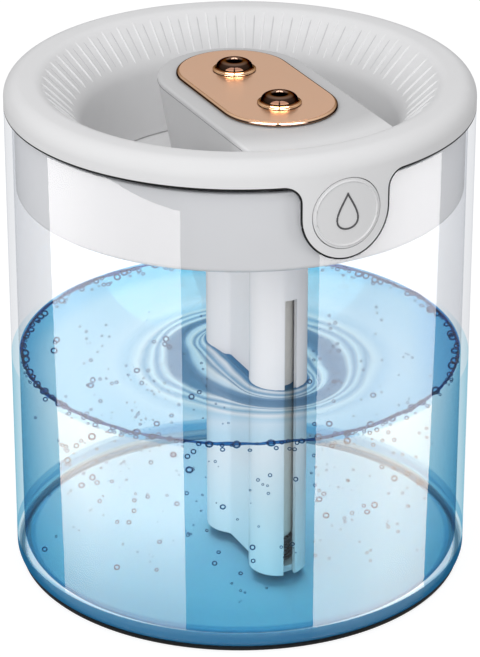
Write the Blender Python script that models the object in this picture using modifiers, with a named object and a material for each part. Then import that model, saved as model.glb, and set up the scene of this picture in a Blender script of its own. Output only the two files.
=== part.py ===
"""Cool mist humidifier: a clear round water tank under a lift-off lid with two mist nozzles.

Metres, +Z up. The origin is the centre of the underside, and the round button tab faces -Y.
The lid carries two atomizer discs, fed by sprung cotton wicks in a twin tower that hangs in the tank.
"""

import math

import bmesh
import bpy
from mathutils import Matrix, Vector

MM = 0.001
STEPS = 48  # facets round the large turned parts
SMALL_STEPS = 20  # and round the nozzles, seals and other small ones
GAP = 0.3 * MM  # clearance between pieces that touch
WELD = 0.00001

# Tank
TANK_RADIUS = 90 * MM
TANK_WALL = 3 * MM
TANK_TOP = 190 * MM
FOOT_HEIGHT = 1.4 * MM
TANK_UNDERSIDE = FOOT_HEIGHT + GAP
TANK_FLOOR = 4.7 * MM

# Tab on the lid that drops into a notch in the tank, and the round button in it
TAB_HALF_WIDTH = 17.2 * MM
TAB_CENTRE_Z = 178 * MM
TAB_FILLET = 7 * MM
TAB_GAP = 0.7 * MM
TAB_THICKNESS = 2.5 * MM
TAB_LOW = TAB_CENTRE_Z - TAB_HALF_WIDTH - 3 * MM
BUTTON_RADIUS = 13.5 * MM
BUTTON_GAP = 0.35 * MM
BUTTON_TRAVEL = 0.8 * MM
STEM_RADIUS = 3.2 * MM
PLUNGER_Y = -82.8 * MM  # front of the switch's plunger; the stem meets it at full travel

# Lid, upper shell
RIM_BOTTOM = 190.9 * MM
RIM_TOP = 200.5 * MM
SHELL = 2.2 * MM
SHOULDER = 6.5 * MM  # radius of the rim's outer shoulder
CREST_RADIUS = 79 * MM
CREST_ROUND = 6 * MM
THROAT_RADIUS = 61 * MM
THROAT_Z = 185 * MM
BOWL_RADIUS = 54 * MM
BOWL_BOTTOM = 159.6 * MM
TRIM = 2 * MM  # how far the walls run on below the bowl floor before they are cut level

# Bridge between the two bowl pockets; it tapers towards the bowl floor
BRIDGE_TOP = 199.3 * MM
BRIDGE_HALF_TOP = 29.5 * MM
BRIDGE_HALF_BOTTOM = 22.5 * MM
BRIDGE_END = 76 * MM
BRIDGE_CENTRE = 5 * MM  # +Y place of the far end's round

# Lid, lower shell
SKIRT_RADIUS = 86.2 * MM
SKIRT_WALL = 2.2 * MM
SKIRT_TOP = 187.5 * MM
PAN_UNDERSIDE = 156.2 * MM
PAN_FLOOR = 159.2 * MM

# Nozzles, wicks and atomizers: both sets stand on these Y places
NOZZLES = {"rear": 5 * MM, "front": -34 * MM}
PLATE_HALF_WIDTH = 22.2 * MM
PLATE_ENDS = (5 * MM, -33 * MM)
PLATE_BOTTOM = BRIDGE_TOP + GAP
PLATE_TOP = PLATE_BOTTOM + 1.5 * MM
NOZZLE_NECK = 4.6 * MM
NOZZLE_HOLE = 2.6 * MM
NOZZLE_HEIGHT = 3.4 * MM
DISC_RADIUS = 10 * MM
DISC_Z = 190.2 * MM
DISC_THICKNESS = 0.7 * MM
WICK_RADIUS = 6 * MM
GUIDE_BORE = 6.5 * MM
GUIDE_RADIUS = 8.5 * MM
GUIDE_TOP = 186 * MM

# Tower
TUBE_RADIUS = 11.2 * MM
TUBE_BORE = 9 * MM
TOWER_BOTTOM = 6 * MM
TOWER_TOP = PAN_UNDERSIDE - GAP
WEB_HALF = 6.5 * MM
SLOT_WIDTH = 5 * MM
SLOT_TOP = 125 * MM
PLUG_BOTTOM = 6.4 * MM
PLUG_TOP = 9 * MM
SPRING_HEIGHT = 10.4 * MM
SPRING_RADIUS = 5.4 * MM
SPRING_WIRE = 0.5 * MM
SPRING_TURNS = 5.5
WICK_BOTTOM = PLUG_TOP + SPRING_HEIGHT + 2 * GAP

# Fasteners and electronics
CASE_SCREW_RADIUS = 79 * MM
CASE_SCREW_ANGLES = (30, 150, 210, 330)
POST_RADIUS = 3.5 * MM
POST_TOP = 198.8 * MM
BOARD_Z = 164 * MM
BOARD_THICKNESS = 1.6 * MM
BOARD_X = 18 * MM
BOARD_Y = (-75.5 * MM, -45.5 * MM)
BOARD_SCREWS = (-14 * MM, 14 * MM)
BOARD_SCREW_Y = -71 * MM
INLET_Z = 193.6 * MM
INLET_SIZE = (9 * MM, 8.2 * MM, 3.3 * MM)
INLET_OUTER_Y = 89.4 * MM

COLOURS = {
    "clear_plastic": ((0.80, 0.90, 0.95), 0.05, 0.0),
    "white_plastic": ((0.86, 0.86, 0.87), 0.45, 0.0),
    "gloss_white": ((0.88, 0.88, 0.89), 0.12, 0.0),
    "rose_gold": ((0.72, 0.44, 0.30), 0.25, 1.0),
    "polished_gold": ((0.80, 0.52, 0.34), 0.08, 1.0),
    "black_rubber": ((0.02, 0.02, 0.02), 0.7, 0.0),
    "silicone": ((0.75, 0.75, 0.76), 0.5, 0.0),
    "ceramic": ((0.85, 0.84, 0.80), 0.4, 0.0),
    "steel": ((0.55, 0.55, 0.56), 0.25, 1.0),
    "cotton": ((0.90, 0.88, 0.84), 0.95, 0.0),
    "circuit_board": ((0.05, 0.22, 0.10), 0.4, 0.0),
    "lead_red": ((0.60, 0.06, 0.05), 0.45, 0.0),
}


def clear_scene():
    for obj in list(bpy.data.objects):
        bpy.data.objects.remove(obj)


def collection(name):
    made = bpy.data.collections.new(name)
    bpy.context.scene.collection.children.link(made)
    return made


def principled(name):
    colour, roughness, metallic = COLOURS[name]
    made = bpy.data.materials.new(name)
    made.use_nodes = True
    shader = made.node_tree.nodes["Principled BSDF"]
    shader.inputs["Base Color"].default_value = (*colour, 1)
    shader.inputs["Roughness"].default_value = roughness
    shader.inputs["Metallic"].default_value = metallic
    return made


clear_scene()
PARTS = collection("cool_mist_humidifier")
CUTTERS = collection("cutters")
MATERIALS = {name: principled(name) for name in COLOURS}


def place(mesh, name, material=None, at=(0, 0, 0)):
    """An object in the parts collection or, with no material, a hidden helper for a Boolean."""
    obj = bpy.data.objects.new(name, mesh)
    obj.location = at
    if material:
        mesh.materials.append(MATERIALS[material])
        PARTS.objects.link(obj)
    else:
        CUTTERS.objects.link(obj)
        obj.hide_render = True
        obj.display_type = "WIRE"
    return obj


def turned(name, profile, material=None, at=(0, 0, 0), steps=STEPS):
    """Turns (radius, z) points, running down the outer side, about Z. Off the axis they close in a loop."""
    on_axis = min(radius for radius, _ in profile) == 0
    count = len(profile)
    edges = [(i, i + 1) for i in range(count - 1)] + ([] if on_axis else [(count - 1, 0)])
    mesh = bpy.data.meshes.new(name)
    mesh.from_pydata([(radius, 0, z) for radius, z in profile], edges, [])
    obj = place(mesh, name, material, at)
    screw = obj.modifiers.new("turn", "SCREW")
    screw.steps = screw.render_steps = steps
    screw.use_merge_vertices = True
    screw.merge_threshold = WELD
    screw.use_smooth_shade = True
    return obj


def cylinder(name, radius, low, high, material=None, at=(0, 0), steps=24):
    mesh = bpy.data.meshes.new(name)
    shape = bmesh.new()
    bmesh.ops.create_cone(
        shape, cap_ends=True, segments=steps, radius1=radius, radius2=radius, depth=high - low
    )
    shape.to_mesh(mesh)
    shape.free()
    return place(mesh, name, material, (*at, (low + high) / 2))


def lying_cylinder(name, radius, low, high, z, material=None, steps=36):
    """A cylinder along Y, from y = low to y = high."""
    obj = cylinder(name, radius, 0, high - low, material, steps=steps)
    obj.rotation_euler = (math.pi / 2, 0, 0)
    obj.location = (0, (low + high) / 2, z)
    return obj


def block(name, low, high, material=None):
    low, high = Vector(low), Vector(high)
    mesh = bpy.data.meshes.new(name)
    shape = bmesh.new()
    bmesh.ops.create_cube(shape, size=1, matrix=Matrix.Diagonal((*(high - low), 1)))
    shape.to_mesh(mesh)
    shape.free()
    return place(mesh, name, material, (low + high) / 2)


def slab(name, outline, low, high, upright=False, material=None):
    """A flat outline filled and extruded: up Z from (x, y) points or, upright, along Y from (x, z) points."""
    curve = bpy.data.curves.new(name, "CURVE")
    curve.dimensions = "2D"
    curve.fill_mode = "BOTH"
    curve.extrude = (high - low) / 2
    line = curve.splines.new("POLY")
    line.points.add(len(outline) - 1)
    for point, (across, along) in zip(line.points, outline):
        point.co = (across, along, 0, 1)
    line.use_cyclic_u = True
    drawn = place(curve, name + "_outline", None)
    bpy.context.view_layer.update()
    mesh = bpy.data.meshes.new_from_object(drawn.evaluated_get(bpy.context.evaluated_depsgraph_get()))
    weld(mesh)
    bpy.data.objects.remove(drawn)
    middle = (low + high) / 2
    obj = place(mesh, name, material, (0, middle, 0) if upright else (0, 0, middle))
    obj.rotation_euler = (math.pi / 2 if upright else 0, 0, 0)
    return obj


def weld(mesh):
    shape = bmesh.new()
    shape.from_mesh(mesh)
    bmesh.ops.remove_doubles(shape, verts=shape.verts, dist=WELD)
    bmesh.ops.recalc_face_normals(shape, faces=shape.faces)
    shape.to_mesh(mesh)
    shape.free()


def loft(name, lower, upper, low, high, material=None):
    """A solid between two (x, y) outlines with the same number of points, at z = low and z = high."""
    mesh = bpy.data.meshes.new(name)
    shape = bmesh.new()
    rings = [
        [shape.verts.new((x, y, z)) for x, y in outline] for outline, z in ((lower, low), (upper, high))
    ]
    count = len(lower)
    for i in range(count):
        j = (i + 1) % count
        shape.faces.new((rings[0][i], rings[0][j], rings[1][j], rings[1][i]))
    for ring in rings:
        shape.faces.new(ring)
    bmesh.ops.recalc_face_normals(shape, faces=shape.faces)
    shape.to_mesh(mesh)
    shape.free()
    return place(mesh, name, material)


def wire(name, points, radius, material):
    """A thin wire through the points, with filled ends, as a mesh."""
    curve = bpy.data.curves.new(name, "CURVE")
    curve.dimensions = "3D"
    curve.bevel_depth = radius
    curve.bevel_resolution = 0
    curve.use_fill_caps = True
    line = curve.splines.new("POLY")
    line.points.add(len(points) - 1)
    for point, place_of in zip(line.points, points):
        point.co = (*place_of, 1)
    drawn = place(curve, name + "_path", None)
    bpy.context.view_layer.update()
    mesh = bpy.data.meshes.new_from_object(drawn.evaluated_get(bpy.context.evaluated_depsgraph_get()))
    weld(mesh)
    bpy.data.objects.remove(drawn)
    return place(mesh, name, material)


def boolean(obj, operation, *others):
    for other in others:
        step = obj.modifiers.new(other.name, "BOOLEAN")
        step.operation = operation
        step.object = other
        step.solver = "EXACT"
    return obj


def cut(obj, *others):
    return boolean(obj, "DIFFERENCE", *others)


def join(obj, *others):
    return boolean(obj, "UNION", *others)


def arc(centre, radius, start, end, count):
    """Points on an arc, from start to end in degrees, both included."""
    angles = [math.radians(start + (end - start) * i / (count - 1)) for i in range(count)]
    return [(centre[0] + radius * math.cos(a), centre[1] + radius * math.sin(a)) for a in angles]


def stadium(half_width, far_y, near_y, count=13):
    """Outline of a strip with round ends, from far_y back to near_y."""
    return arc((0, far_y), half_width, 0, 180, count) + arc((0, near_y), half_width, 180, 360, count)


def bridge_outline(half_width, end_y, count=13):
    """A strip with one round end at the back, cut square at end_y."""
    return arc((0, BRIDGE_CENTRE), half_width, 0, 180, count) + [(-half_width, end_y), (half_width, end_y)]


def inset(path, distance):
    """The path moved sideways, to the right of its direction, with mitred corners."""
    moved = []
    for i, here in enumerate(path):
        before = Vector(path[i - 1]) if i else None
        after = Vector(path[i + 1]) if i + 1 < len(path) else None
        sides = [
            (b - a).normalized()
            for a, b in ((before, Vector(here)), (Vector(here), after))
            if a is not None and b is not None
        ]
        normals = [Vector((side.y, -side.x)) for side in sides]
        mean = sum(normals, Vector((0, 0))).normalized()
        moved.append(tuple(Vector(here) + mean * distance / mean.dot(normals[0])))
    return moved


def tab_outline(gap, top):
    """The tab's (x, z) outline: a round bottom, straight sides and fillets that flare out at the rim."""
    half = TAB_HALF_WIDTH + gap
    fillet = TAB_FILLET - gap
    flare = half + fillet
    fillet_z = TANK_TOP - fillet
    right = arc((flare, fillet_z), fillet, 180, 90, 6)
    left = [(-x, z) for x, z in reversed(right)]
    return arc((0, TAB_CENTRE_Z), half, 180, 360, 17) + right + [(flare, top), (-flare, top)] + left


def make_tank():
    inner = TANK_RADIUS - TANK_WALL
    corner = 3 * MM
    cove = 5 * MM
    profile = [(0, TANK_FLOOR)]
    profile += arc((inner - cove, TANK_FLOOR + cove), cove, -90, 0, 4)
    profile += [(inner, TANK_TOP), (TANK_RADIUS, TANK_TOP)]
    profile += arc((TANK_RADIUS - corner, TANK_UNDERSIDE + corner), corner, 0, -90, 4)
    profile += [(0, TANK_UNDERSIDE)]
    tank = turned("tank", profile, "clear_plastic")
    notch = slab(
        "tank_notch", tab_outline(TAB_GAP, TANK_TOP + 5 * MM), -TANK_RADIUS - 5 * MM, -60 * MM, upright=True
    )
    cut(tank, notch)

    cylinder("foot_pad", TANK_RADIUS - 1.5 * MM, 0, FOOT_HEIGHT, "black_rubber", steps=STEPS)


def rim_profile():
    """The upper shell's top side, from the tab's lowest level over the crest and down the bowl wall."""
    path = [(TANK_RADIUS, TAB_LOW)]
    path += arc((TANK_RADIUS - SHOULDER, RIM_TOP - SHOULDER), SHOULDER, 0, 90, 6)
    path += arc((CREST_RADIUS, RIM_TOP - CREST_ROUND), CREST_ROUND, 90, 135, 4)
    return path + [(THROAT_RADIUS, THROAT_Z), (BOWL_RADIUS, BOWL_BOTTOM - TRIM)]


def make_upper_shell():
    path = rim_profile()
    under = inset(path, -SHELL)
    under[0] = (TANK_RADIUS - TAB_THICKNESS, TAB_LOW)
    under[-1] = (BOWL_RADIUS + SHELL, BOWL_BOTTOM - TRIM)
    shell = turned("lid_top_shell", under + path[::-1], "white_plastic")

    slope = (BRIDGE_HALF_TOP - BRIDGE_HALF_BOTTOM) / (BRIDGE_TOP - BOWL_BOTTOM)
    cavity_low, cavity_high = BOWL_BOTTOM - 5 * MM, BRIDGE_TOP - SHELL
    below = BRIDGE_HALF_BOTTOM - SHELL - slope * 5 * MM
    above = BRIDGE_HALF_TOP - SHELL - slope * SHELL
    outside = loft(
        "bridge_outside",
        bridge_outline(BRIDGE_HALF_BOTTOM, -BRIDGE_END),
        bridge_outline(BRIDGE_HALF_TOP, -BRIDGE_END),
        BOWL_BOTTOM - TRIM / 2,
        BRIDGE_TOP,
    )
    cavity_end = -BRIDGE_END - 4 * MM
    inside = loft(
        "bridge_inside",
        bridge_outline(below, cavity_end),
        bridge_outline(above, cavity_end),
        cavity_low,
        cavity_high,
    )

    outer, inner = TANK_RADIUS + 5 * MM, TANK_RADIUS - 5 * MM
    low = TAB_LOW - 5 * MM
    below_rim = turned("below_rim", [(outer, RIM_BOTTOM), (outer, low), (inner, low), (inner, RIM_BOTTOM)])
    cut(below_rim, slab("tab_shape", tab_outline(0, TANK_TOP + 5 * MM), -TANK_RADIUS - 9 * MM, -50 * MM,
                        upright=True))
    cut(shell, below_rim)
    join(shell, outside)
    cut(shell, inside)
    posts = [
        cylinder(
            f"post_{angle}",
            POST_RADIUS,
            BOWL_BOTTOM - TRIM / 2,
            POST_TOP,
            at=screw_place(angle),
            steps=12,
        )
        for angle in CASE_SCREW_ANGLES
    ]
    join(shell, *posts)
    cut(shell, cylinder("level_cut", TANK_RADIUS - 5 * MM, BOWL_BOTTOM - 10 * MM, BOWL_BOTTOM, steps=STEPS))
    for angle in CASE_SCREW_ANGLES:
        low, high = BOWL_BOTTOM - MM, BOWL_BOTTOM + 13 * MM
        cut(shell, cylinder(f"pilot_{angle}", 1.7 * MM, low, high, at=screw_place(angle), steps=12))
    for y in NOZZLES.values():
        neck_hole = NOZZLE_NECK + 0.4 * MM
        cut(shell, cylinder(f"nozzle_hole_{y:.3f}", neck_hole, 190 * MM, RIM_TOP + MM, at=(0, y)))
    cut(shell, block("lead_slot", (18 * MM, -70 * MM, BOWL_BOTTOM - MM), (34 * MM, -63 * MM, 172 * MM)))
    button_hole = BUTTON_RADIUS + BUTTON_GAP
    cut(shell, lying_cylinder("button_hole", button_hole, -TANK_RADIUS - 5 * MM, -80 * MM, TAB_CENTRE_Z))
    half_x, half_z = INLET_SIZE[0] / 2 + 0.3 * MM, INLET_SIZE[2] / 2 + 0.3 * MM
    cut(
        shell,
        block("inlet_hole", (-half_x, 80 * MM, INLET_Z - half_z), (half_x, 95 * MM, INLET_Z + half_z)),
    )


def screw_place(angle):
    turn = math.radians(angle)
    return CASE_SCREW_RADIUS * math.cos(turn), CASE_SCREW_RADIUS * math.sin(turn)


def make_lower_shell():
    inner = SKIRT_RADIUS - SKIRT_WALL
    corner = 2 * MM
    profile = [(0, PAN_FLOOR), (inner, PAN_FLOOR), (inner, SKIRT_TOP), (SKIRT_RADIUS, SKIRT_TOP)]
    profile += arc((SKIRT_RADIUS - corner, PAN_UNDERSIDE + corner), corner, 0, -90, 4)
    profile += [(0, PAN_UNDERSIDE)]
    pan = turned("lid_base_shell", profile, "gloss_white")
    collar_low = PAN_UNDERSIDE - 5 * MM
    for name, y in NOZZLES.items():
        join(pan, cylinder(f"guide_{name}", GUIDE_RADIUS, collar_low, GUIDE_TOP, at=(0, y), steps=32))
    for name, y in NOZZLES.items():
        bore = cylinder(f"bore_{name}", GUIDE_BORE, collar_low - MM, GUIDE_TOP + MM, at=(0, y), steps=32)
        cut(pan, bore)
    for x in BOARD_SCREWS:
        post = cylinder(f"board_post_{x:.3f}", 2.6 * MM, PAN_FLOOR - MM, BOARD_Z - GAP, at=(x, BOARD_SCREW_Y))
        join(pan, post)
        pilot = cylinder(f"board_pilot_{x:.3f}", 1.1 * MM, PAN_FLOOR, BOARD_Z + MM, at=(x, BOARD_SCREW_Y))
        cut(pan, pilot)
    for angle in CASE_SCREW_ANGLES:
        place_of = screw_place(angle)
        low, seat = PAN_UNDERSIDE - MM, PAN_UNDERSIDE + 1.8 * MM
        cut(pan, cylinder(f"counterbore_{angle}", 3.3 * MM, low, seat, at=place_of, steps=16))
        cut(pan, cylinder(f"clearance_{angle}", 1.9 * MM, low, PAN_FLOOR + MM, at=place_of, steps=16))
    stem_hole = lying_cylinder(
        "stem_hole", STEM_RADIUS + 0.6 * MM, -92 * MM, -80 * MM, TAB_CENTRE_Z, steps=24
    )
    cut(pan, stem_hole)


def make_gasket():
    """A flat ring on the tank's edge, open where the tab drops through it."""
    low, high = TANK_TOP + 0.25 * MM, RIM_BOTTOM - 0.25 * MM
    outer, inner = TANK_RADIUS - 0.4 * MM, TANK_RADIUS - TANK_WALL + 0.2 * MM
    gasket = turned("rim_gasket", [(outer, high), (outer, low), (inner, low), (inner, high)], "black_rubber")
    half = TAB_HALF_WIDTH + TAB_FILLET + MM
    cut(gasket, block("gasket_gap", (-half, -95 * MM, low - MM), (half, -70 * MM, high + MM)))


def make_nozzles():
    plate = slab("nozzle_plate", stadium(PLATE_HALF_WIDTH, *PLATE_ENDS), PLATE_BOTTOM, PLATE_TOP,
                 material="rose_gold")
    for name, y in NOZZLES.items():
        hole = cylinder(f"plate_hole_{name}", NOZZLE_NECK + 0.4 * MM, 198 * MM, 203 * MM, at=(0, y))
        cut(plate, hole)
        base = PLATE_TOP + GAP
        top = base + NOZZLE_HEIGHT
        body = 6.3 * MM
        lip = 1.1 * MM
        profile = [(NOZZLE_HOLE, base + 0.6 * MM)]
        profile += [(body - 2.4 * lip, top - 0.5 * MM)]
        profile += arc((body - lip, top - lip), lip, 100, 0, 3)
        profile += [(body + 0.1 * MM, base + 1.6 * MM), (body + 0.8 * MM, base + 0.7 * MM)]
        profile += [(body + 2.0 * MM, base + 0.25 * MM), (body + 2.0 * MM, base)]
        profile += [(NOZZLE_NECK, base), (NOZZLE_NECK, BRIDGE_TOP - SHELL - MM)]
        profile += [(NOZZLE_HOLE, BRIDGE_TOP - SHELL - MM)]
        turned(f"nozzle_ring_{name}", profile, "polished_gold", (0, y, 0), steps=SMALL_STEPS)


def make_atomizer(name, y):
    """A ceramic disc in a silicone seal, held up under its nozzle by a clip ring."""
    lip = 1.2 * MM
    seal_low, seal_high = DISC_Z - GAP - lip, DISC_Z + DISC_THICKNESS + GAP + lip
    seal_outer, seal_inner = DISC_RADIUS + 1.3 * MM, DISC_RADIUS - 2.5 * MM
    groove = DISC_RADIUS + GAP
    low, high = DISC_Z - GAP, DISC_Z + DISC_THICKNESS + GAP
    turned(
        f"disc_seal_{name}",
        [(seal_outer, seal_high), (seal_outer, seal_low), (seal_inner, seal_low), (seal_inner, low)]
        + [(groove, low), (groove, high), (seal_inner, high), (seal_inner, seal_high)],
        "silicone", (0, y, 0), steps=SMALL_STEPS,
    )
    top = DISC_Z + DISC_THICKNESS
    cylinder(f"atomizer_disc_{name}", DISC_RADIUS, DISC_Z, top, "ceramic", (0, y), SMALL_STEPS)
    wall = 1.6 * MM
    inside = seal_outer + GAP
    floor = seal_low - GAP
    turned(
        f"disc_holder_{name}",
        [(inside + wall, seal_high + 0.8 * MM), (inside + wall, floor - 1.6 * MM)]
        + [(GUIDE_RADIUS + 0.5 * MM, floor - 1.6 * MM), (GUIDE_RADIUS + 0.5 * MM, floor)]
        + [(inside, floor), (inside, seal_high + 0.8 * MM)],
        "white_plastic", (0, y, 0), steps=SMALL_STEPS,
    )


def make_button():
    inner = TANK_RADIUS - TAB_THICKNESS + 0.2 * MM
    low, high = TAB_CENTRE_Z - 16 * MM, TAB_CENTRE_Z + 16 * MM
    button = turned(
        "power_button",
        [(TANK_RADIUS, high), (TANK_RADIUS, low), (inner, low), (inner, high)],
        "white_plastic",
    )
    boolean(button, "INTERSECT", lying_cylinder(
        "button_shape", BUTTON_RADIUS, -TANK_RADIUS - 5 * MM, -80 * MM, TAB_CENTRE_Z))
    stem_end = PLUNGER_Y - BUTTON_TRAVEL - GAP
    join(button, lying_cylinder("button_stem", STEM_RADIUS, -TANK_RADIUS + MM, stem_end, TAB_CENTRE_Z,
                                steps=16))


def make_electronics():
    top = BOARD_Z + BOARD_THICKNESS
    low, high = (-BOARD_X, BOARD_Y[0], BOARD_Z), (BOARD_X, BOARD_Y[1], top)
    board = block("control_board", low, high, "circuit_board")
    sunk = top - 0.4 * MM
    join(
        board,
        block("chip", (-4 * MM, -66 * MM, sunk), (4 * MM, -58 * MM, top + 1.5 * MM)),
        cylinder("coil_1", 4 * MM, sunk, top + 5 * MM, at=(11 * MM, -57 * MM), steps=16),
        cylinder("coil_2", 4 * MM, sunk, top + 5 * MM, at=(-11 * MM, -57 * MM), steps=16),
        block("plug_header", (-5 * MM, -74.5 * MM, sunk), (5 * MM, -70 * MM, top + 5 * MM)),
    )
    for number, x in enumerate(BOARD_SCREWS, 1):
        at = (x, BOARD_SCREW_Y)
        cut(board, cylinder(f"board_hole_{number}", 1.5 * MM, BOARD_Z - MM, top + MM, at=at, steps=16))
        pan_screw(f"board_screw_{number}", (*at, top + GAP), 0.8 * MM, 2.2 * MM, -1)
    for number, angle in enumerate(CASE_SCREW_ANGLES, 1):
        seat = PAN_UNDERSIDE + 1.8 * MM - GAP
        pan_screw(f"case_screw_{number}", (*screw_place(angle), seat), 1.3 * MM, 2.8 * MM, 1)

    back, front = -76.4 * MM, -78 * MM
    block("switch_board", (-9 * MM, front, 169 * MM), (9 * MM, back, 188 * MM), "circuit_board")
    body = block(
        "tact_switch",
        (-3 * MM, front - GAP - 3.5 * MM, TAB_CENTRE_Z - 3 * MM),
        (3 * MM, front - GAP, TAB_CENTRE_Z + 3 * MM),
        "steel",
    )
    join(body, lying_cylinder("plunger", 1.75 * MM, PLUNGER_Y, front - 2 * MM, TAB_CENTRE_Z, steps=16))


def pan_screw(name, seat, shank, head, direction):
    """A pan-head screw with a cross slot, its shank running up (1) or down (-1) from its seat."""
    head_height = 0.55 * head
    length = 9 * MM if direction > 0 else 4 * MM
    profile = [(0, length), (shank * 0.5, length), (shank, length - MM), (shank, 0), (head, 0)]
    profile += [(head, -head_height * 0.5), (head * 0.75, -head_height), (0, -head_height)]
    screw = turned(name, profile, "steel", seat, steps=12)
    if direction < 0:
        screw.rotation_euler = (math.pi, 0, 0)
    depth = 0.5 * head_height
    face = seat[2] - direction * head_height
    for axis in range(2):
        size = [0.2 * head, 0.2 * head]
        size[axis] = 0.6 * head
        low = (seat[0] - size[0], seat[1] - size[1], face - depth)
        high = (seat[0] + size[0], seat[1] + size[1], face + depth)
        cut(screw, block(f"{name}_slot_{axis}", low, high))


def make_inlet():
    half_x, depth, half_z = INLET_SIZE[0] / 2, INLET_SIZE[1], INLET_SIZE[2] / 2
    wall = 0.4 * MM
    inner_y = INLET_OUTER_Y - depth
    shell = block(
        "usb_inlet", (-half_x, inner_y, INLET_Z - half_z), (half_x, INLET_OUTER_Y, INLET_Z + half_z), "steel"
    )
    edge = shell.modifiers.new("round", "BEVEL")
    edge.width = 0.5 * MM
    edge.segments = 1
    mouth = block(
        "inlet_mouth",
        (-half_x + wall, inner_y + 2 * MM, INLET_Z - half_z + wall),
        (half_x - wall, INLET_OUTER_Y + MM, INLET_Z + half_z - wall),
    )
    tongue = block(
        "inlet_tongue",
        (-half_x + 1.3 * MM, inner_y + MM, INLET_Z - 0.35 * MM),
        (half_x - 1.3 * MM, INLET_OUTER_Y - 1.2 * MM, INLET_Z + 0.35 * MM),
    )
    cut(shell, mouth)
    join(shell, tongue)
    top = INLET_Z - half_z - GAP
    block("inlet_board", (-8 * MM, 74 * MM, top - BOARD_THICKNESS), (8 * MM, 86.5 * MM, top), "circuit_board")


def make_leads():
    """Thin insulated leads inside the lid, from the inlet to the control board and from it to the discs."""
    radius = 0.9 * MM
    reach = 72 * MM
    around = []
    for i in range(15):
        turn = math.radians(80 - 128 * i / 14)
        drop = 188 * MM - 19 * MM * (0.5 - 0.5 * math.cos(math.pi * i / 14))
        around.append((reach * math.cos(turn), reach * math.sin(turn), drop))
    end = [(34 * MM, -64 * MM, 168.5 * MM), (26 * MM, -66.5 * MM, 168 * MM), (10 * MM, -66.5 * MM, 168 * MM)]
    wire("supply_lead", around + end, radius, "lead_red")
    top = BOARD_Z + BOARD_THICKNESS + GAP + radius
    for name, y in NOZZLES.items():
        side = 12 * MM if name == "rear" else -12 * MM
        finish = y - 8 * MM
        route = [(side * 0.5, -54 * MM, top), (side, -50 * MM, top + 2 * MM), (side, -46 * MM, 172 * MM)]
        route += [(side, (finish - 46 * MM) / 2, 178 * MM), (side, finish, 181 * MM), (side, y, 184 * MM)]
        wire(f"disc_lead_{name}", route, radius, "lead_red")


def make_tower():
    rear, front = NOZZLES["rear"], NOZZLES["front"]
    tower = cylinder("wick_tower", TUBE_RADIUS, TOWER_BOTTOM, TOWER_TOP, "white_plastic", (0, rear), 36)
    join(tower, cylinder("front_tube", TUBE_RADIUS, TOWER_BOTTOM, TOWER_TOP, at=(0, front), steps=36))
    join(tower, block("web", (-WEB_HALF, front, TOWER_BOTTOM), (WEB_HALF, rear, TOWER_TOP)))
    for name, y in NOZZLES.items():
        below, above = TOWER_BOTTOM - MM, TOWER_TOP + MM
        cut(tower, cylinder(f"tube_bore_{name}", TUBE_BORE, below, above, at=(0, y), steps=32))
        outward = 1 if name == "rear" else -1
        ends = sorted((y, y + outward * 20 * MM))
        low, high = (-SLOT_WIDTH / 2, ends[0], below), (SLOT_WIDTH / 2, ends[1], SLOT_TOP)
        cut(tower, block(f"slot_{name}", low, high))
        for side in (1, -1):
            near, far = GUIDE_BORE, TUBE_BORE + MM
            low_x, high_x = sorted((side * near, side * far))
            rib = block(
                f"rib_{name}_{side}",
                (low_x, y - 0.6 * MM, WICK_BOTTOM + 2 * MM),
                (high_x, y + 0.6 * MM, PAN_UNDERSIDE - 8 * MM),
            )
            join(tower, rib)


def make_wick(name, y):
    at = (0, y, 0)
    cylinder(f"wick_{name}", WICK_RADIUS, WICK_BOTTOM, DISC_Z - GAP, "cotton", (0, y), 24)
    outer, bore, boss = TUBE_BORE - 0.4 * MM, 2.5 * MM, 4.2 * MM
    turned(
        f"spring_plug_{name}",
        [(boss, PLUG_TOP + 3 * MM), (boss, PLUG_TOP), (outer, PLUG_TOP), (outer, PLUG_BOTTOM)]
        + [(bore, PLUG_BOTTOM), (bore, PLUG_TOP + 3 * MM)],
        "white_plastic", at, steps=SMALL_STEPS,
    )
    low = PLUG_TOP + GAP + SPRING_WIRE
    high = PLUG_TOP + SPRING_HEIGHT + GAP - SPRING_WIRE
    count = round(SPRING_TURNS * 9)
    coil = []
    for i in range(count + 1):
        turn = 2 * math.pi * SPRING_TURNS * i / count
        rise = low + (high - low) * i / count
        coil.append((SPRING_RADIUS * math.cos(turn), y + SPRING_RADIUS * math.sin(turn), rise))
    wire(f"wick_spring_{name}", coil, SPRING_WIRE, "steel")


def main():
    make_tank()
    make_upper_shell()
    make_lower_shell()
    make_gasket()
    make_nozzles()
    make_button()
    make_electronics()
    make_inlet()
    make_leads()
    make_tower()
    for name, y in NOZZLES.items():
        make_atomizer(name, y)
        make_wick(name, y)


main()
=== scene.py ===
"""Looks of the cool mist humidifier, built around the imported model. Metres, +Z up, the tab faces -Y."""

import math
import random

import bmesh
import bpy
from mathutils import Matrix, Vector, noise


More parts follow.
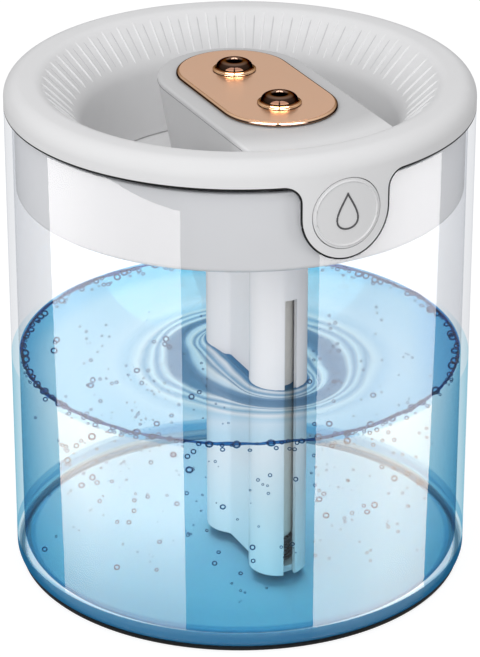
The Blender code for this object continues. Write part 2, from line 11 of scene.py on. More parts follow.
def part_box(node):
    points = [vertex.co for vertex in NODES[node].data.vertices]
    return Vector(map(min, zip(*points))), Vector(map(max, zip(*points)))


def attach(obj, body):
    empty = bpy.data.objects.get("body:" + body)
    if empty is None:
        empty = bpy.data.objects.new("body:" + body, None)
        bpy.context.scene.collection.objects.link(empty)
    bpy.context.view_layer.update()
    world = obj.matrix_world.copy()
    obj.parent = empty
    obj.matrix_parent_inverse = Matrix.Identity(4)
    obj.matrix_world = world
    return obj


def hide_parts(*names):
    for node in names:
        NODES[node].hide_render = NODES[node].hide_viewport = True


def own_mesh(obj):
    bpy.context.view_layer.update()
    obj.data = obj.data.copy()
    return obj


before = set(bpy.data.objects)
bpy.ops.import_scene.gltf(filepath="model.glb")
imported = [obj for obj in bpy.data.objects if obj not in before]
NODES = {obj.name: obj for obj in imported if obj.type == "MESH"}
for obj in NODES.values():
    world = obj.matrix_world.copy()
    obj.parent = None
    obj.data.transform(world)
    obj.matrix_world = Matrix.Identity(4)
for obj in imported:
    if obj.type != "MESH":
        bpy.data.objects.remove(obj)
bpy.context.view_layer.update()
MM = 0.001
FINE = 192  # facets round the large turned pieces
TAU = 2 * math.pi


# ---- sizes, some read from the imported model and the rest given
TANK_LOW, TANK_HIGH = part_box("tank")
TANK_RADIUS = TANK_HIGH.x
TANK_TOP = TANK_HIGH.z
TANK_UNDERSIDE = TANK_LOW.z
TANK_WALL = 3 * MM
TANK_FLOOR = 4.7 * MM
TANK_COVE = 5 * MM  # round corner between the tank's floor and wall, inside
INNER = TANK_RADIUS - TANK_WALL
FOOT_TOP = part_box("foot_pad")[1].z
FOOT_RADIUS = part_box("foot_pad")[1].x
WATER_LEVEL = 87 * MM
PAST = 5 * MM  # how far a cutting solid runs past what it cuts

TAB_HALF = 17.2 * MM
TAB_Z = 178 * MM
TAB_FILLET = 7 * MM
TAB_GAP = 0.7 * MM
TAB_THICKNESS = 2.5 * MM
TAB_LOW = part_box("lid_top_shell")[0].z
BUTTON_RADIUS = 13.5 * MM
BUTTON_HOLE = 13.85 * MM
BUTTON_RING = 12.4 * MM
STEM_RADIUS = 3.2 * MM
STEM_HOLE = 3.8 * MM

RIM_BOTTOM = 190.9 * MM
RIM_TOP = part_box("lid_top_shell")[1].z
SHELL = 2.2 * MM
SHOULDER = 6.5 * MM
CREST_RADIUS = 79 * MM
CREST_ROUND = 6 * MM
THROAT_RADIUS = 61 * MM
THROAT_Z = 185 * MM
THROAT_ROUND = 11 * MM
BOWL_RADIUS = 54 * MM
BOWL_BOTTOM = 159.6 * MM
BOWL_TRIM = 2 * MM  # length below the bowl that is cut level at the end

BRIDGE_TOP = 199.3 * MM
BRIDGE_HALF_TOP = 29.5 * MM
BRIDGE_HALF_BOTTOM = 22.5 * MM
BRIDGE_END = 76 * MM
BRIDGE_CENTRE = 5 * MM
BRIDGE_SLOPE = (BRIDGE_HALF_TOP - BRIDGE_HALF_BOTTOM) / (BRIDGE_TOP - BOWL_BOTTOM)

SKIRT_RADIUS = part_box("lid_base_shell")[1].x
SKIRT_WALL = 2.2 * MM
SKIRT_TOP = 187.5 * MM
PAN_UNDERSIDE = 156.2 * MM
PAN_FLOOR = 159.2 * MM
GUIDE_BORE = 6.5 * MM
GUIDE_RADIUS = 8.5 * MM
GUIDE_TOP = 186 * MM
COLLAR_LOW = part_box("lid_base_shell")[0].z

SCREW_HEAD_HOLE = (3.3 * MM, 1.8 * MM)  # radius and depth
SCREW_HOLE = 1.9 * MM

NOZZLE_Y = {"rear": 5 * MM, "front": -34 * MM}
NOZZLE_HOLE = 5 * MM
PLATE_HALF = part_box("nozzle_plate")[1].x
PLATE_LOW, PLATE_HIGH = (corner.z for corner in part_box("nozzle_plate"))
PLATE_ENDS = (5 * MM, -33 * MM)
NOZZLE_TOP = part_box("nozzle_ring_front")[1].z
TUBE_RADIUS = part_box("wick_tower")[1].x
TUBE_BORE = 9 * MM
TOWER_LOW, TOWER_HIGH = (corner.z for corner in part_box("wick_tower"))
WEB_HALF = 6.5 * MM
SLOT_HALF = 2.5 * MM
SLOT_TOP = 125 * MM

random.seed(7)


# ---- materials
class Nodes:
    """The node tree of a material or world, with short calls to add and join nodes."""

    def __init__(self, owner, output="OutputMaterial"):
        self.owner = owner
        owner.use_nodes = True
        self.tree = owner.node_tree
        self.tree.nodes.clear()
        self.output = self.add(output)

    def add(self, kind, inputs=None, **settings):
        node = self.tree.nodes.new("ShaderNode" + kind)
        for key, value in settings.items():
            setattr(node, key, value)
        for key, value in (inputs or {}).items():
            socket = node.inputs[key]
            if isinstance(value, bpy.types.NodeSocket):
                self.tree.links.new(value, socket)
            else:
                socket.default_value = value
        return node

    def shader(self, kind, inputs=None):
        return self.add(kind, inputs).outputs[0]

    def blend(self, factor, one, two=None):
        return self.shader("MixShader", {"Fac": factor, 1: one, 2: two} if two else {"Fac": factor, 1: one})

    def finish(self, shader):
        self.tree.links.new(shader, self.output.inputs["Surface"])
        return self.owner

    def position(self):
        """The point's x, y and z, and its distance from the Z axis."""
        place = self.add("TexCoord").outputs["Object"]
        x, y, z = self.add("SeparateXYZ", {"Vector": place}).outputs
        return x, y, z, self.diagonal(x, y)

    def noise(self, scale, detail=3.0):
        place = self.add("TexCoord").outputs["Object"]
        return self.add("TexNoise", {"Vector": place, "Scale": scale, "Detail": detail}).outputs["Fac"]

    def mix(self, factor, one, two, kind="MIX"):
        node = self.add("MixRGB", {"Fac": factor, "Color1": one, "Color2": two}, blend_type=kind)
        return node.outputs["Color"]

    def tinted(self, one, two):
        return self.mix(1.0, one, two, "MULTIPLY")

    def spread(self, value, low, high, start=0.3, end=0.7):
        """low up to start, high from end on, and an even change between them."""
        inputs = {"Value": value, "From Min": start, "From Max": end, "To Min": low, "To Max": high}
        return self.add("MapRange", inputs).outputs["Result"]

    def rise(self, value, start, end):
        return self.spread(value, 0.0, 1.0, start, end)

    def fall(self, value, start, end):
        return self.spread(value, 1.0, 0.0, start, end)

    def maths(self, operation, one, two=0.0):
        return self.add("Math", {0: one, 1: two}, operation=operation).outputs[0]

    def times(self, product, *others):
        for other in others:
            product = self.maths("MULTIPLY", product, other)
        return product

    def rest(self, value):
        """What the value leaves of 1."""
        return self.maths("SUBTRACT", 1.0, value)

    def diagonal(self, one, two):
        return self.maths("SQRT", self.maths("ADD", self.times(one, one), self.times(two, two)))

    def ramp(self, value, stops):
        node = self.add("ValToRGB", {"Fac": value})
        points = node.color_ramp.elements
        for end in (0, -1):
            points[end].position = stops[end][0]
            points[end].color = (*stops[end][1], 1)
        for where, colour in stops[1:-1]:
            points.new(where).color = (*colour, 1)
        return node.outputs["Color"]

    def outside(self):
        """1 on the outer side of a face and 0 on its inner side."""
        return self.rest(self.add("NewGeometry").outputs["Backfacing"])

    def facing(self):
        return self.add("LayerWeight", {"Blend": 0.5}).outputs["Facing"]

    def fresnel(self, index):
        return self.add("Fresnel", {"IOR": index}).outputs["Fac"]

    def principled(self, colour, rough, metallic, others):
        inputs = {"Base Color": colour, "Roughness": rough, "Metallic": metallic, **others}
        return self.finish(self.shader("BsdfPrincipled", inputs))

    def glow(self, strength, colour=(1, 1, 1)):
        return self.finish(self.shader("Emission", {"Color": (*colour, 1), "Strength": strength}))

    def see_through(self, tint, gloss_share, roughness, solid=None, gleam=(1, 1, 1, 1)):
        """A clear sheet that tints what is behind it, mirrors by gloss_share, and lets light in untinted.
        solid is (factor, colour) of an opaque part, and gleam the colour of what it mirrors."""
        seen = self.rest(self.add("LightPath").outputs["Is Shadow Ray"])
        clear = self.shader("BsdfTransparent", {"Color": self.mix(seen, (1, 1, 1, 1), tint)})
        if solid:
            dull = self.shader("BsdfDiffuse", {"Color": solid[1]})
            clear = self.blend(self.times(solid[0], seen), clear, dull)
        gloss = self.shader("BsdfGlossy", {"Color": gleam, "Roughness": roughness})
        return self.finish(self.blend(gloss_share, clear, gloss))


def new_material(name):
    return Nodes(bpy.data.materials.new(name))


def shaded(colour, factor):
    return tuple(min(1.0, c * factor) for c in colour)


def finish(
    name, colour, roughness, metallic=0.0, mottle=0.03, mottle_scale=35, grain=0.1, grain_scale=1800,
    grain_depth=0.03 * MM, wear=0.08, specular=0.5, subsurface=0.0, well=False,
):
    """A moulded, cast or plated finish: soft colour variation, uneven gloss and a fine grain.
    well greys it down in the middle of the lid, where little light reaches."""
    n = new_material(name)
    cloud = n.noise(mottle_scale, 4)
    base = n.mix(cloud, (*shaded(colour, 1 - mottle), 1), (*shaded(colour, 1 + mottle), 1))
    if well:
        _, _, height, radius = n.position()
        depth = n.spread(height, 0.86, 0.75, BOWL_BOTTOM, BRIDGE_TOP)
        inside = n.fall(radius, THROAT_RADIUS - 2 * MM, THROAT_RADIUS + 10 * MM)
        base = n.mix(inside, base, n.tinted(base, depth))
    rough = n.spread(n.noise(mottle_scale * 4, 5), roughness * (1 - wear), roughness * (1 + wear))
    grainy = n.noise(grain_scale, 2)
    bump = n.add("Bump", {"Strength": grain, "Distance": grain_depth, "Height": grainy})
    return n.principled(base, rough, metallic, {
        "Normal": bump.outputs["Normal"], "Specular IOR Level": specular,
        "Subsurface Weight": subsurface, "Subsurface Scale": 0.002,
    })


def mirrored_gold(name, low, high, stops):
    """Polished gold with a painted dark reflection, a darker band, between two heights."""
    n = new_material(name)
    colour = n.ramp(n.rise(n.position()[2], low, high), stops)
    rough = n.spread(n.noise(300), 0.05, 0.08)
    return n.principled(colour, rough, 1.0, {"Specular Tint": (0.14, 0.09, 0.07, 1)})


def clear_plastic():
    """Clear moulded plastic: a cool tint that deepens at grazing angles and in the base, and sharp
    reflections. Below the water line the edge of the wall carries the water's blue."""
    n = new_material("clear_tank_plastic")
    _, _, height, radius = n.position()
    facing = n.facing()
    dry = n.ramp(facing, [
        (0.0, (0.970, 0.972, 0.976)), (0.45, (0.958, 0.960, 0.965)), (0.60, (0.925, 0.928, 0.935)),
        (0.76, (0.90, 0.905, 0.915)), (0.92, (0.87, 0.875, 0.885)), (1.0, (0.78, 0.79, 0.81)),
    ])
    wet = n.ramp(facing, [
        (0.0, (1, 1, 1)), (0.47, (1, 1, 1)), (0.60, (0.93, 0.97, 0.99)), (0.76, (0.78, 0.91, 0.96)),
        (1.0, (0.56, 0.83, 0.92)),
    ])
    filled = n.fall(height, WATER_LEVEL - 0.4 * MM, WATER_LEVEL + 0.4 * MM)
    tint = n.mix(filled, dry, n.tinted(dry, wet))
    gleam = n.mix(filled, (0.60, 0.72, 0.93, 1), (1, 1, 1, 1))
    outer_face = n.rise(radius, INNER + 0.3 * MM, INNER + 0.6 * MM)
    above_floor = n.rise(height, TANK_FLOOR - 0.6 * MM, TANK_FLOOR - 0.1 * MM)
    # dark blue glimpsed through the outside of the base, and the inner side of its lowest corner
    base = n.ramp(n.rise(height, 4.6 * MM, 9.3 * MM), [
        (0.0, (0.93,) * 3), (0.3, (0.90,) * 3), (0.8, (0.76,) * 3), (0.9, (0, 0, 0)), (1.0, (0, 0, 0)),
    ])
    base = n.times(base, n.rise(radius, INNER - 2.5 * MM, INNER - 1.5 * MM), outer_face, n.outside())
    heel = n.times(n.spread(height, 0.8, 0.0, 2.4 * MM, 3.2 * MM), n.rest(n.outside()),
                   n.rise(radius, INNER - 1.1 * MM, INNER - 0.1 * MM))
    # the round corner inside, and the darker line low on it
    cove = n.times(n.fall(height, TANK_FLOOR + TANK_COVE - 0.5 * MM, TANK_FLOOR + TANK_COVE + 0.5 * MM),
                   above_floor, n.rise(radius, INNER - 4.7 * MM, INNER - 3.7 * MM))
    line = n.times(n.rise(radius, INNER - 2.6 * MM, INNER - 2.3 * MM),
                   n.fall(height, TANK_FLOOR + 1.9 * MM, TANK_FLOOR + 2.3 * MM),
                   above_floor, n.rest(outer_face))
    tint = n.mix(cove, tint, n.tinted(tint, (0.50, 0.75, 0.87, 1)))
    tint = n.mix(line, tint, (0.44, 0.54, 0.61, 1))
    mirrored = n.maths("MINIMUM", n.fresnel(1.47), 0.052)
    share = n.times(mirrored, n.spread(base, 1.0, 0.04, 0.0, 0.7), n.outside())
    edge = n.mix(n.outside(), (0.30, 0.52, 0.64, 1), (0.02, 0.17, 0.36, 1))
    return n.see_through(tint, share, 0.012, (n.maths("MAXIMUM", base, heel), edge), gleam)


def water_material():
    """Blue water: a tint on each face that deepens downwards, and painted reflections on the top, dark and
    pale rings round the tower.
    """
    n = new_material("water_blue")
    x, y, z, _ = n.position()
    entering = n.ramp(n.rise(z, TANK_FLOOR, WATER_LEVEL), [
        (0.0, (0.275, 0.66, 0.80)), (0.125, (0.31, 0.70, 0.83)), (0.22, (0.39, 0.77, 0.88)),
        (0.61, (0.67, 0.89, 0.955)), (0.95, (0.94, 0.98, 1.0)), (1.0, (0.95, 0.99, 1.0)),
    ])
    side = n.mix(n.outside(), (0.57, 0.79, 0.88, 1), entering)
    # distance from the line between the two tubes near the tower, and from its middle further out
    near, far = NOZZLE_Y["front"], NOZZLE_Y["rear"]
    clamped = n.maths("MINIMUM", n.maths("MAXIMUM", y, near), far)
    close = n.diagonal(x, n.maths("SUBTRACT", y, clamped))
    wide = n.maths("SUBTRACT", n.diagonal(x, n.maths("SUBTRACT", y, (near + far) / 2)), 10 * MM)
    blend = n.rise(close, 12 * MM, 42 * MM)
    distance = n.maths("ADD", n.times(close, n.rest(blend)), n.times(wide, blend))
    distance = n.maths("ADD", distance, n.spread(n.noise(26, 2), -0.8 * MM, 0.8 * MM))
    # painted reflection and shade of the ripples: dark and pale rings in the top's tint
    rings = n.ramp(n.rise(distance, 10 * MM, 80 * MM), [
        (0.00, (0.08, 0.25, 0.44)), (0.025, (0.14, 0.34, 0.54)), (0.04, (1, 1, 1)),
        (0.060, (0.24, 0.46, 0.66)), (0.075, (0.92, 0.98, 1.0)), (0.092, (0.20, 0.38, 0.56)),
        (0.112, (0.95, 1.0, 1.0)), (0.135, (0.74, 0.88, 0.97)), (0.152, (0.24, 0.40, 0.56)),
        (0.180, (0.16, 0.29, 0.44)), (0.24, (0.20, 0.35, 0.50)), (0.265, (0.98, 1.0, 1.0)),
        (0.290, (0.26, 0.47, 0.66)), (0.310, (0.96, 1.0, 1.0)), (0.340, (0.36, 0.58, 0.74)),
        (0.375, (1, 1, 1)), (0.43, (0.62, 0.82, 0.94)), (0.52, (0.82, 0.93, 1.0)),
        (0.66, (0.68, 0.87, 0.97)), (0.88, (0.60, 0.84, 0.95)), (1.0, (0.30, 0.70, 0.90)),
    ])
    normal = n.add("SeparateXYZ", {"Vector": n.add("NewGeometry").outputs["Normal"]}).outputs["Z"]
    up = n.times(n.maths("ABSOLUTE", normal), n.rise(z, WATER_LEVEL - 6 * MM, WATER_LEVEL - 4 * MM))
    top = n.rise(up, 0.4, 0.6)
    # painted shade: the top is deeper blue to the right of where the camera stands, and a little at its left
    # end
    sideways = n.maths("SUBTRACT", n.times(x, 0.90), n.times(y, 0.43))
    deep = n.ramp(n.rise(sideways, -90 * MM, 90 * MM), [
        (0.0, (0.74, 0.85, 0.92)), (0.10, (0.97, 0.98, 1.0)), (0.56, (1, 1, 1)),
        (0.76, (0.76, 0.83, 0.88)), (0.87, (0.72, 0.81, 0.87)), (0.93, (0.36, 0.66, 0.86)),
        (1.0, (0.32, 0.62, 0.84)),
    ])
    tint = n.mix(top, side, n.tinted(rings, deep))
    return n.see_through(tint, n.times(n.fresnel(1.33), n.outside(), top, 0.5), 0.03)


def bubble_material(name, rim, middle):
    """A small air bubble: see-through in the middle with a dark edge and a bright spot."""
    n = new_material(name)
    facing = n.facing()
    tint = n.ramp(facing, [(0.0, middle), (0.10, middle), (0.24, rim), (0.6, rim),
                           (0.85, shaded(rim, 2.0)), (1.0, shaded(rim, 3.0))])
    return n.see_through(tint, n.times(n.fresnel(1.5), n.outside()), 0.1)


MATERIAL = {
    "clear_tank": clear_plastic(),
    "water": water_material(),
    "white_matte": finish("white_matte_plastic", (0.80, 0.80, 0.805), 0.42, grain=0.12),
    "lid_white": finish("lid_white_plastic", (0.83, 0.83, 0.835), 0.42, grain=0.12, well=True),
    "white_gloss": finish("white_gloss_plastic", (0.82, 0.82, 0.825), 0.20, grain=0.03, mottle=0.015),
    # painted highlight: the ribs take a lighter copy of the lid's plastic
    "rib_painted_highlight": finish("rib_white_plastic", (0.88, 0.88, 0.885), 0.34, grain=0.05),
    # painted shadow: a grey copy of the lid's plastic for the thin lines between the ribs
    "rib_painted_shadow": finish("rib_grey_plastic", (0.66, 0.66, 0.67), 0.5, grain=0.05),
    "print_grey": finish("print_grey", (0.10, 0.10, 0.105), 0.5, grain=0.05),
    # painted shadow: the dark grey of the fine line along the bridge's side
    "seam": finish("seam_grey", (0.30, 0.30, 0.31), 0.6),
    "tower_white": finish("tower_white_plastic", (0.85, 0.845, 0.855), 0.22, grain=0.05, mottle=0.02),
    "rose_gold": finish("rose_gold_satin", (0.97, 0.595, 0.385), 0.30, 1.0, grain=0.12,
                        grain_scale=2600, mottle=0.02),
    # the dark band over the middle of each dome is a painted dark reflection; the foot stays gold
    "dome_gold": mirrored_gold(
        "dome_gold", PLATE_HIGH, NOZZLE_TOP,
        [(0.0, (0.88, 0.56, 0.36)), (0.26, (0.90, 0.52, 0.28)), (0.34, (0.09, 0.05, 0.03)),
         (0.62, (0.035, 0.018, 0.012)), (0.86, (0.05, 0.028, 0.020)), (1.0, (0.30, 0.19, 0.14))]),
    # the dark line round the middle of the plate's polished edge is a painted dark reflection
    "edge_gold": mirrored_gold(
        "edge_gold", PLATE_LOW, PLATE_HIGH,
        [(0.0, (0.80, 0.50, 0.33)), (0.22, (0.80, 0.50, 0.33)), (0.30, (0.08, 0.05, 0.04)),
         (0.60, (0.08, 0.05, 0.04)), (0.72, (0.86, 0.56, 0.37)), (1.0, (0.86, 0.56, 0.37))]),
    "black_rubber": finish("black_rubber", (0.012, 0.012, 0.013), 0.55, grain=0.25, grain_scale=1200),
    "silicone": finish("silicone_white", (0.85, 0.855, 0.86), 0.5, grain=0.15, subsurface=0.1),
    "ceramic": finish("ceramic_disc", (0.78, 0.77, 0.73), 0.42, grain=0.2),
    "steel": finish("spring_steel", (0.42, 0.42, 0.44), 0.24, 1.0, grain=0.1, wear=0.25),
    "circuit_board": finish("circuit_board", (0.03, 0.16, 0.07), 0.36, grain=0.3, grain_scale=700,
                            mottle=0.12),
    "lead_insulation": finish("lead_insulation", (0.45, 0.035, 0.03), 0.42, grain=0.1),
    "cotton": finish("cotton_wick", (0.80, 0.78, 0.73), 0.95, grain=0.9, grain_scale=1500,
                     grain_depth=0.25 * MM, mottle=0.06, mottle_scale=160, specular=0.2),
    "bubble": bubble_material("air_bubbles", (0.07, 0.27, 0.45), (1, 1, 1)),
    "waterline": bubble_material("waterline_edge", (0.05, 0.27, 0.50), (0.15, 0.43, 0.68)),
}


# ---- mesh helpers
def put(name, data):
    obj = bpy.data.objects.new(name, data)
    bpy.context.scene.collection.objects.link(obj)
    return obj


def from_bmesh(name, shape, normals=True):
    if normals:
        bmesh.ops.recalc_face_normals(shape, faces=shape.faces)
    mesh = bpy.data.meshes.new(name)
    shape.to_mesh(mesh)
    shape.free()
    return put(name, mesh)


def arc(centre, radius, start, end, count):
    angles = [math.radians(start + (end - start) * i / (count - 1)) for i in range(count)]
    return [(centre[0] + radius * math.cos(a), centre[1] + radius * math.sin(a)) for a in angles]


def circle(radius, steps, shift=0.0):
    """Points round the origin, shift steps on from the X axis."""
    turns = [TAU * (k + shift) / steps for k in range(steps)]
    return [(radius * math.cos(turn), radius * math.sin(turn)) for turn in turns]


def soft_edge(size):
    """How far in and how far up a rounded edge has come at each of its steps."""
    turns = [math.radians(90 * i / 6) for i in range(7)]
    return [(size * (1 - math.cos(turn)), size * math.sin(turn)) for turn in turns]


def pairs(rings, closed):
    return list(zip(rings, rings[1:])) + ([(rings[-1], rings[0])] if closed else [])


def skin(shape, rings, closed=False):
    """Faces from each ring of points to the next, with the last joined to the first or both ends capped."""
    for one, two in pairs(rings, closed):
        for i in range(len(one)):
            j = (i + 1) % len(one)
            shape.faces.new((one[i], one[j], two[j], two[i]))
    if not closed:
        shape.faces.new(rings[0])
        shape.faces.new(rings[-1])


def turned(name, profile, steps=FINE, at=(0, 0), loop=False):
    """Turns (radius, z) points about a vertical line. A profile off the axis is a closed loop."""
    shape = bmesh.new()
    rings = []
    for radius, z in profile:
        points = circle(radius, steps, 0.5) if radius > 1e-7 else [(0, 0)]
        rings.append([shape.verts.new((at[0] + x, at[1] + y, z)) for x, y in points])
    for one, two in pairs(rings, loop):
        for k in range(steps):
            j = (k + 1) % steps
            if len(one) == 1:
                shape.faces.new((one[0], two[k], two[j]))
            elif len(two) == 1:
                shape.faces.new((one[k], two[0], one[j]))
            else:
                shape.faces.new((one[k], two[k], two[j], one[j]))
    return from_bmesh(name, shape)


def loft(name, sections):
    """A solid through sections, each (outline of (x, y) points, z), all with the same number of points."""
    shape = bmesh.new()
    skin(shape, [[shape.verts.new((x, y, z)) for x, y in outline] for outline, z in sections])
    return from_bmesh(name, shape)


def drawn_out(name, outline, low, high):
    """An outline of (x, z) points drawn out along Y."""
    shape = bmesh.new()
    skin(shape, [[shape.verts.new((x, y, z)) for x, z in outline] for y in (low, high)])
    return from_bmesh(name, shape)


def cylinder(name, radius, low, high, at=(0, 0), steps=96):
    return turned(name, [(0, high), (radius, high), (radius, low), (0, low)], steps, at)


def lying_cylinder(name, radius, low, high, steps=96):
    """A round bar along Y, at the tab's height."""
    return drawn_out(name, [(x, TAB_Z + z) for x, z in circle(radius, steps)], low, high)


def box(name, low, high):
    outline = [(low[0], low[1]), (high[0], low[1]), (high[0], high[1]), (low[0], high[1])]
    return loft(name, [(outline, low[2]), (outline, high[2])])


def boolean(obj, operation, other):
    """Cuts, joins or crosses the object with the other, which is used up."""
    step = obj.modifiers.new(other.name, "BOOLEAN")
    step.operation, step.object, step.solver = operation, other, "EXACT"
    bpy.context.view_layer.update()
    made = bpy.data.meshes.new_from_object(obj.evaluated_get(bpy.context.evaluated_depsgraph_get()))
    obj.modifiers.clear()
    obj.data = made
    bpy.data.objects.remove(other)


def cut(obj, other):
    boolean(obj, "DIFFERENCE", other)


def join(obj, other):
    boolean(obj, "UNION", other)


def drill(obj, radius, low, high, at=(0, 0), steps=96):
    cut(obj, cylinder("drill", radius, low, high, at, steps))


def drill_nozzles(obj, radius, low, high):
    for y in NOZZLE_Y.values():
        drill(obj, radius, low, high, (0, y))


def cup(inner, outer, top, underside, edge, corner):
    """The upper edge and outer side of a cup's profile, down to the middle of its underside."""
    profile = arc((inner + edge, top - edge), edge, 180, 90, 4)
    profile += arc((outer - edge, top - edge), edge, 90, 0, 4)
    return profile + arc((outer - corner, underside + corner), corner, 0, -90, 10) + [(0, underside)]


def tube(name, points, radius, closed=False, sides=10):
    """A round wire through the points, with closed ends. radius is one size, or one for each point."""
    shape = bmesh.new()
    rings = []
    count = len(points)
    points = [Vector(p) for p in points]
    sizes = radius if isinstance(radius, list) else [radius] * count
    up = Vector((0, 0, 1))
    for i, here in enumerate(points):
        if closed:
            along = points[(i + 1) % count] - points[i - 1]
        else:
            along = points[min(i + 1, count - 1)] - points[max(i - 1, 0)]
        along.normalize()
        side = along.cross(up)
        if side.length < 0.2:
            side = along.cross(Vector((0, 1, 0)))
        side.normalize()
        lift = side.cross(along)
        rings.append([shape.verts.new(here + sizes[i] * (side * a + lift * b)) for a, b in circle(1, sides)])
    skin(shape, rings, closed)
    return from_bmesh(name, shape)


def dress(obj, material, body, replaces=(), sharp=35):
    """Shades the piece, gives it its material, ties it to its body, and hides the CAD nodes it replaces."""
    obj.data.materials.clear()
    obj.data.materials.append(MATERIAL[material])
    obj.data.shade_smooth()
    obj.data.set_sharp_from_angle(angle=math.radians(sharp))
    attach(obj, body)
    if replaces:
        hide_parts(*replaces)


# ---- outlines shared by several pieces
def tab_edge(gap, height, steps, round_steps):
    """The tab's left fillet, round lower end and right fillet, all a gap outside the tab."""
    half, fillet = TAB_HALF + gap, TAB_FILLET - gap
    right = arc((half + fillet, height - fillet), fillet, 180, 90, steps)
    left = [(-x, z) for x, z in reversed(right)]
    return left, arc((0, TAB_Z), half, 180, 360, round_steps), right


def tab_outline(gap, top, height=TANK_TOP):
    """The tab's edge, closed by straight sides from its fillets' height up to top."""
    left, low, right = tab_edge(gap, height, 13, 49)
    return low + right + [(right[-1][0], top), (left[0][0], top)] + left


def stadium(half, far, near):
    return arc((0, far), half, 0, 180, 49) + arc((0, near), half, 180, 360, 49)


def bridge_outline(half, end):
    return arc((0, BRIDGE_CENTRE), half, 0, 180, 49) + [(-half, end), (half, end)]


def lid_path(shoulder_steps, crest_steps):
    """The rim's outer side and crest, as (radius, z) points."""
    path = [(TANK_RADIUS, TAB_LOW)]
    path += arc((TANK_RADIUS - SHOULDER, RIM_TOP - SHOULDER), SHOULDER, 0, 90, shoulder_steps)
    return path + arc((CREST_RADIUS, RIM_TOP - CREST_ROUND), CREST_ROUND, 90, 135, crest_steps)


def inset(path, distance):
    """The path moved sideways by the distance."""
    moved = []
    for i, here in enumerate(path):
        here = Vector(here)
        sides = []
        if i:
            sides.append((here - Vector(path[i - 1])).normalized())
        if i + 1 < len(path):
            sides.append((Vector(path[i + 1]) - here).normalized())
        normals = [Vector((side.y, -side.x)) for side in sides]
        mean = sum(normals, Vector((0, 0))).normalized()
        moved.append(tuple(here + mean * distance / mean.dot(normals[0])))
    return moved


# ---- tank and foot
def make_tank():
    edge = 0.4 * MM
    profile = [(0, TANK_FLOOR)]
    profile += arc((INNER - TANK_COVE, TANK_FLOOR + TANK_COVE), TANK_COVE, -90, 0, 10)
    profile += [(INNER, TANK_TOP - edge)]
    profile += cup(INNER, TANK_RADIUS, TANK_TOP, TANK_UNDERSIDE, edge, 3 * MM)
    tank = turned("tank_shell", profile)
    notch = tab_outline(TAB_GAP, TANK_TOP + PAST)
    cut(tank, drawn_out("notch", notch, -TANK_RADIUS - PAST, -60 * MM))
    dress(tank, "clear_tank", "tank", ["tank"], sharp=30)


def make_foot():
    """A black ring with a pale pad in it. Both stop short of the edge on top, under the tank's corner."""
    ring, edge = 1.6 * MM, 0.3 * MM
    outer, soft = FOOT_RADIUS, FOOT_RADIUS - edge
    profile = [(outer - 1.3 * MM, FOOT_TOP), (soft, FOOT_TOP), (outer, FOOT_TOP - edge), (outer, edge),
               (soft, 0), (outer - ring, 0)]
    dress(turned("foot_ring", profile, loop=True), "black_rubber", "tank", ["foot_pad"])
    inner = outer - ring - 0.05 * MM
    pad = [(0, FOOT_TOP), (outer - 1.35 * MM, FOOT_TOP), (inner, 0.4 * MM), (inner - 0.5 * MM, 0), (0, 0)]
    dress(turned("foot_centre", pad), "silicone", "tank", ["foot_pad"])


# ---- water
def from_tower(x, y):
    """Distance from the line between the middles of the tower's two tubes."""
    along = min(max(y, NOZZLE_Y["front"]), NOZZLE_Y["rear"])
    return math.hypot(x, y - along)


def surface_height(x, y):
    """The rippled water surface over the point."""
    distance = from_tower(x, y)
    radius = math.hypot(x, y)
    wave = 0.9 * MM * math.cos(TAU * (distance - TUBE_RADIUS) / (6.5 * MM + 0.07 * distance))
    fade = math.exp(-max(0.0, distance - TUBE_RADIUS) / (22 * MM))
    swell = 0.35 * MM * noise.noise(Vector((x, y, 0.02)) * 32)
    rise = 1.1 * MM * math.exp(-(INNER - radius) / (2.0 * MM)) if radius < INNER else 1.1 * MM
    return WATER_LEVEL + wave * fade + swell + rise


def make_water():
    gap = 0.25 * MM
    outer, floor = INNER - gap, TANK_FLOOR + gap
    shape = bmesh.new()
    radii = [1.2 * MM * i for i in range(1, 72)]
    radii = [r for r in radii if r < outer - 1 * MM] + [outer - 0.6 * MM, outer - 0.25 * MM, outer]
    rings = [[shape.verts.new((x, y, surface_height(x, y))) for x, y in circle(radius, FINE)]
             for radius in radii]
    lower = [(outer, z * MM) for z in (82, 70, 55, 40, 25, 14)]
    lower += arc((outer - TANK_COVE, floor + TANK_COVE), TANK_COVE, 0, -90, 8)
    lower += [(60 * MM, floor), (30 * MM, floor)]
    rings += [[shape.verts.new((x, y, z)) for x, y in circle(radius, FINE)] for radius, z in lower]
    top = shape.verts.new((0, 0, surface_height(0, 0)))
    bottom = shape.verts.new((0, 0, floor))
    for k in range(FINE):
        j = (k + 1) % FINE
        shape.faces.new((top, rings[0][k], rings[0][j]))
        shape.faces.new((bottom, rings[-1][j], rings[-1][k]))
        for one, two in zip(rings, rings[1:]):
            shape.faces.new((one[k], two[k], two[j], one[j]))
    dress(from_bmesh("water_body", shape), "water", "tank", sharp=50)


def spheres(name, places):
    """Many small air bubbles in one mesh; places holds (centre, radius, flattening)."""
    shape = bmesh.new()
    for centre, radius, flat in places:
        matrix = Matrix.Translation(centre) @ Matrix.Diagonal((1, 1, flat, 1))
        bmesh.ops.create_icosphere(shape, subdivisions=2, radius=radius, matrix=matrix)
    dress(from_bmesh(name, shape, normals=False), "bubble", "tank", sharp=180)


def clear_of_tower(x, y, margin):
    return from_tower(x, y) > TUBE_RADIUS + margin


